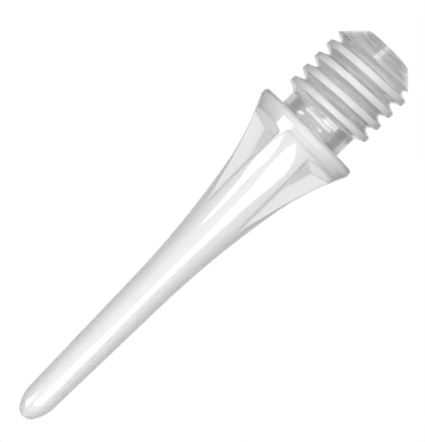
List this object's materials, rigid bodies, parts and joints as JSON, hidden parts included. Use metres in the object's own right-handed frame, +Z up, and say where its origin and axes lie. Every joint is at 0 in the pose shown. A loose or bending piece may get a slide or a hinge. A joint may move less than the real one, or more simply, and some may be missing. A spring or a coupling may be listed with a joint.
{
  "type": "soft tip dart point",
  "caption": "Screw-in plastic point: threaded shank and relief neck, shoulder flange, flared head with side pockets, and a long tapered shaft with a blunt rounded nose.",
  "frame": {"origin": "on the axis, in the plane of the shoulder that seats against the part the point screws into", "axes": "+X along the axis towards the threaded end, +Z up through the middle of the front rib, +Y to the side"},
  "size_m": [0.0251, 0.0058, 0.0058],
  "materials": {
    "shank_clear": "clear injection-moulded plastic, glossy, slightly grey where the thread bends the light",
    "body_clear": "clear injection-moulded plastic, glossy, slightly milky"
  },
  "bodies": {
    "root": {"threaded_shank": "shank_clear", "flared_head": "body_clear", "tapered_point": "body_clear"}
  },
  "joints": []
}
